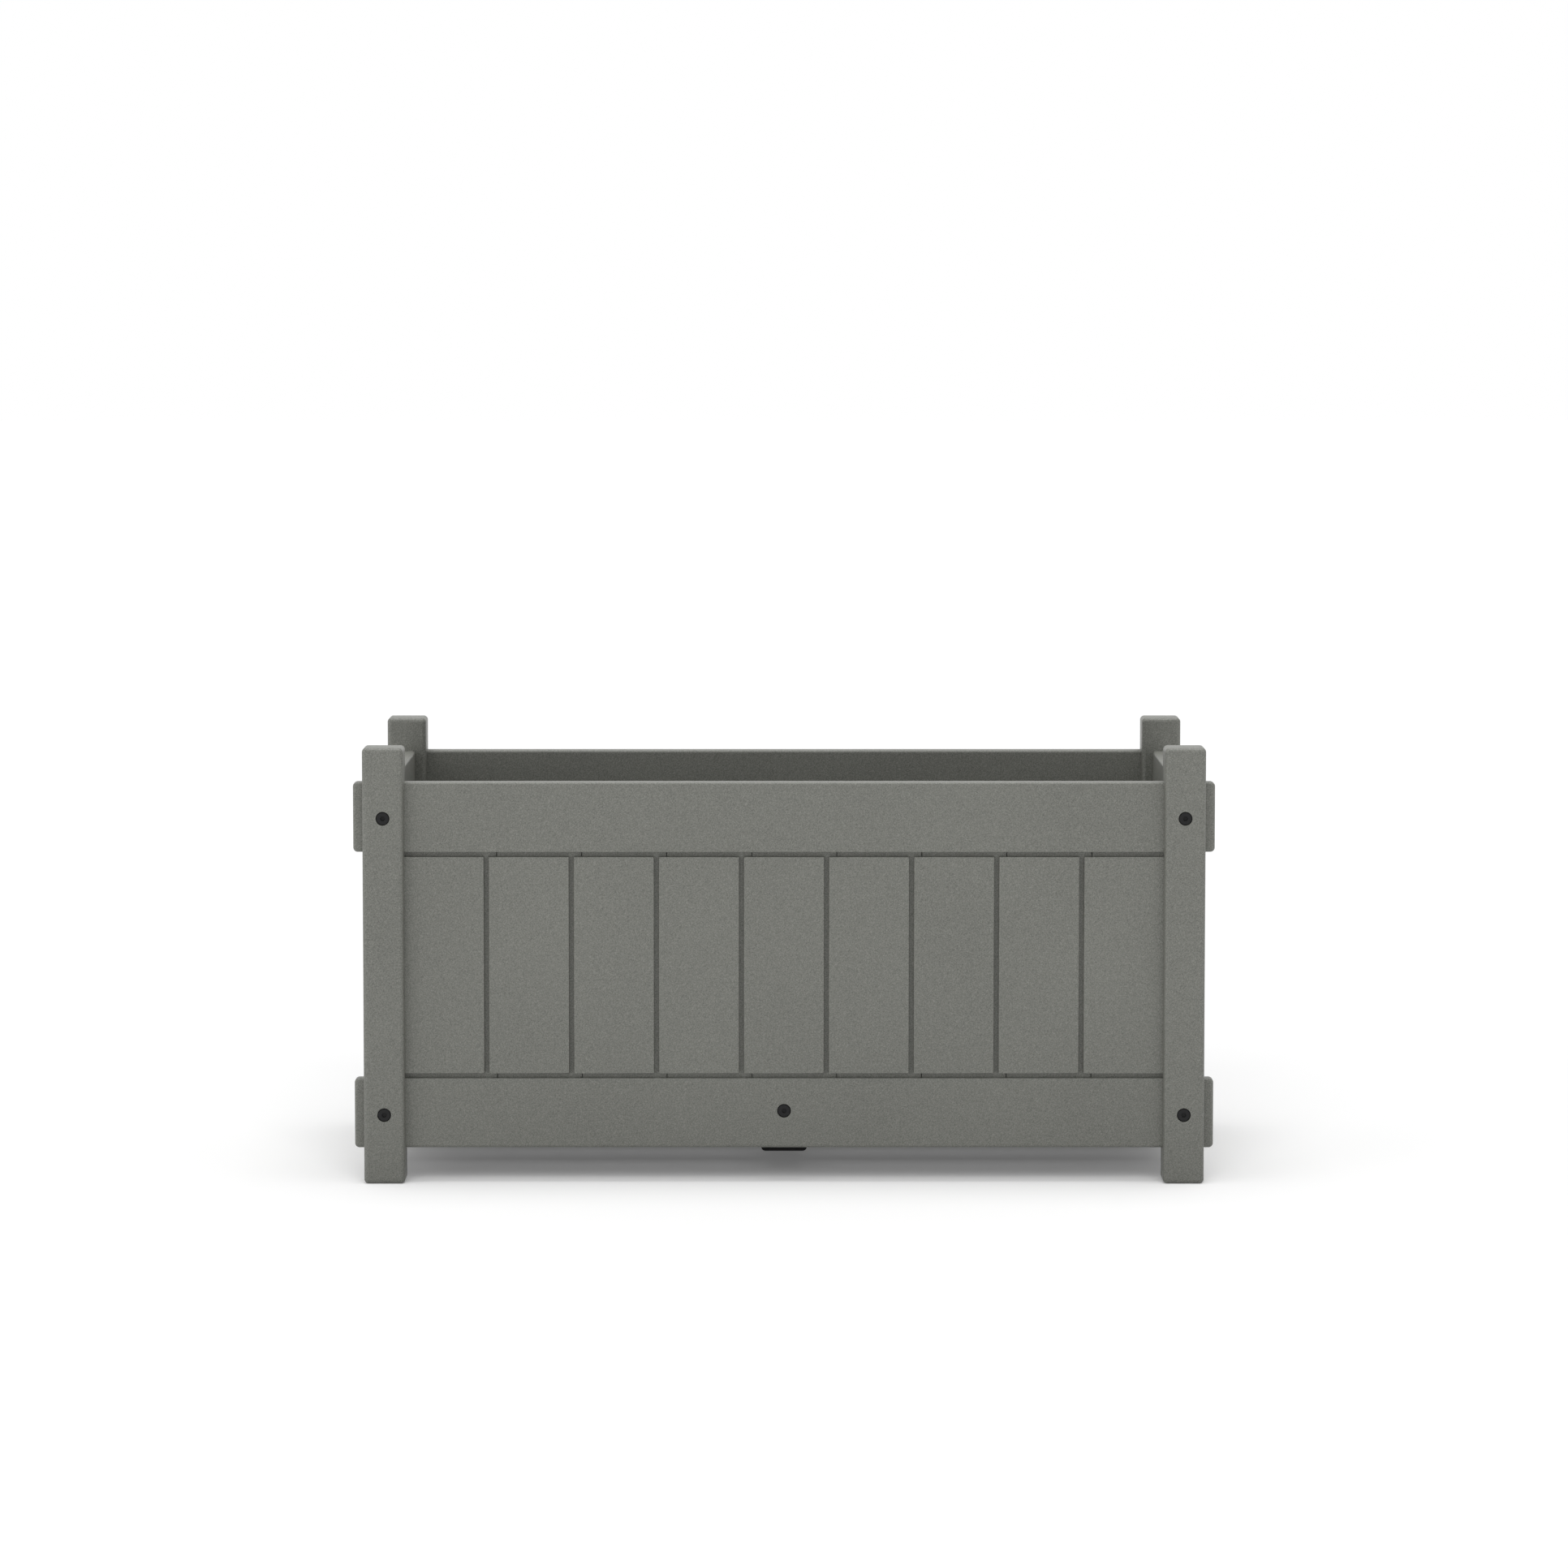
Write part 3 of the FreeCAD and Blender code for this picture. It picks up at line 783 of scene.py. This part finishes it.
floor_material, start = new_material("floor")
place = start.node("ShaderNodeSeparateXYZ", inputs={
    "Vector": start.node("ShaderNodeTexCoord").out("Object")})
# Painted shade: as a light, the floor's colour darkens within a set reach of the box's footprint,
# standing in for the shadow the box throws on the floor around it
outside = [start.math("MAXIMUM", start.math("ABSOLUTE", place.out(axis)) - half, 0.0)
           for axis, half in zip("XY", modelled_box[1])]
distance = start.math("SQRT", outside[0] * outside[0] + outside[1] * outside[1])
bounce_with_painted_shade = start.node("ShaderNodeMapRange", {"interpolation_type": "SMOOTHSTEP"}, {
    "Value": distance, "From Max": NEAR, "To Min": FLOOR_BOUNCE_IN_PAINTED_SHADE, "To Max": FLOOR_BOUNCE})
finish_material(start, {
    "Base Color": shown_or_not(start, bounce_with_painted_shade, FLOOR_COLOUR), "Roughness": 1.0,
    "Specular IOR Level": 0.0, "Emission Color": shown_or_not(start, 0.0, 1.0),
    "Emission Strength": FLOOR_GLOW})
floor_mesh.materials.append(floor_material)

# %% [markdown]
# ## The light
# The photograph has broad soft light from above, a little from the left, and white all round.
# Lamps of the sun kind light every place alike, so the floor stays even, and the angle that
# they fill sets how soft their shadows are: the one overhead is very wide, like a soft box. One
# more lamp lights the floor only. It comes from the front, so that the floor before the box has
# no shadow. The sky is white to the camera and in reflections, and dim as a light.

# %% Sky
SKY_LIGHT = 0.46

sky = bpy.data.worlds.new("studio")
sky.use_nodes = True
sky.node_tree.nodes.clear()
start = Socket(sky.node_tree)
white = start.node("ShaderNodeBackground", inputs={
    "Color": (1, 1, 1, 1), "Strength": shows(start) * (1 - SKY_LIGHT) + SKY_LIGHT})
start.node("ShaderNodeOutputWorld", inputs={"Surface": white})
scene.world = sky

# %% Lamps
# name: degrees right of the front, degrees up, how wide it looks in degrees, strength
LAMPS = {
    "overhead": (0, 90, 45, 1.3),
    "from_left": (-50, 12, 40, 0.35),
    "floor_key": (0, 30, 40, 1.65),
}


def add_lamp(name, right, up, width, strength):
    data = bpy.data.lights.new(name, "SUN")
    data.energy = strength
    data.angle = math.radians(width)
    lamp = bpy.data.objects.new(name, data)
    right, up = math.radians(right), math.radians(up)
    towards = Vector((math.sin(right) * math.cos(up), -math.cos(right) * math.cos(up),
                      math.sin(up)))
    lamp.rotation_euler = towards.to_track_quat("Z", "Y").to_euler()
    scene.collection.objects.link(lamp)
    return lamp


lamps = {name: add_lamp(name, *facts) for name, facts in LAMPS.items()}
floor_only = bpy.data.collections.new("floor_only")
floor_only.objects.link(floor)
lamps["floor_key"].light_linking.receiver_collection = floor_only
print(len(lamps), "lamps")
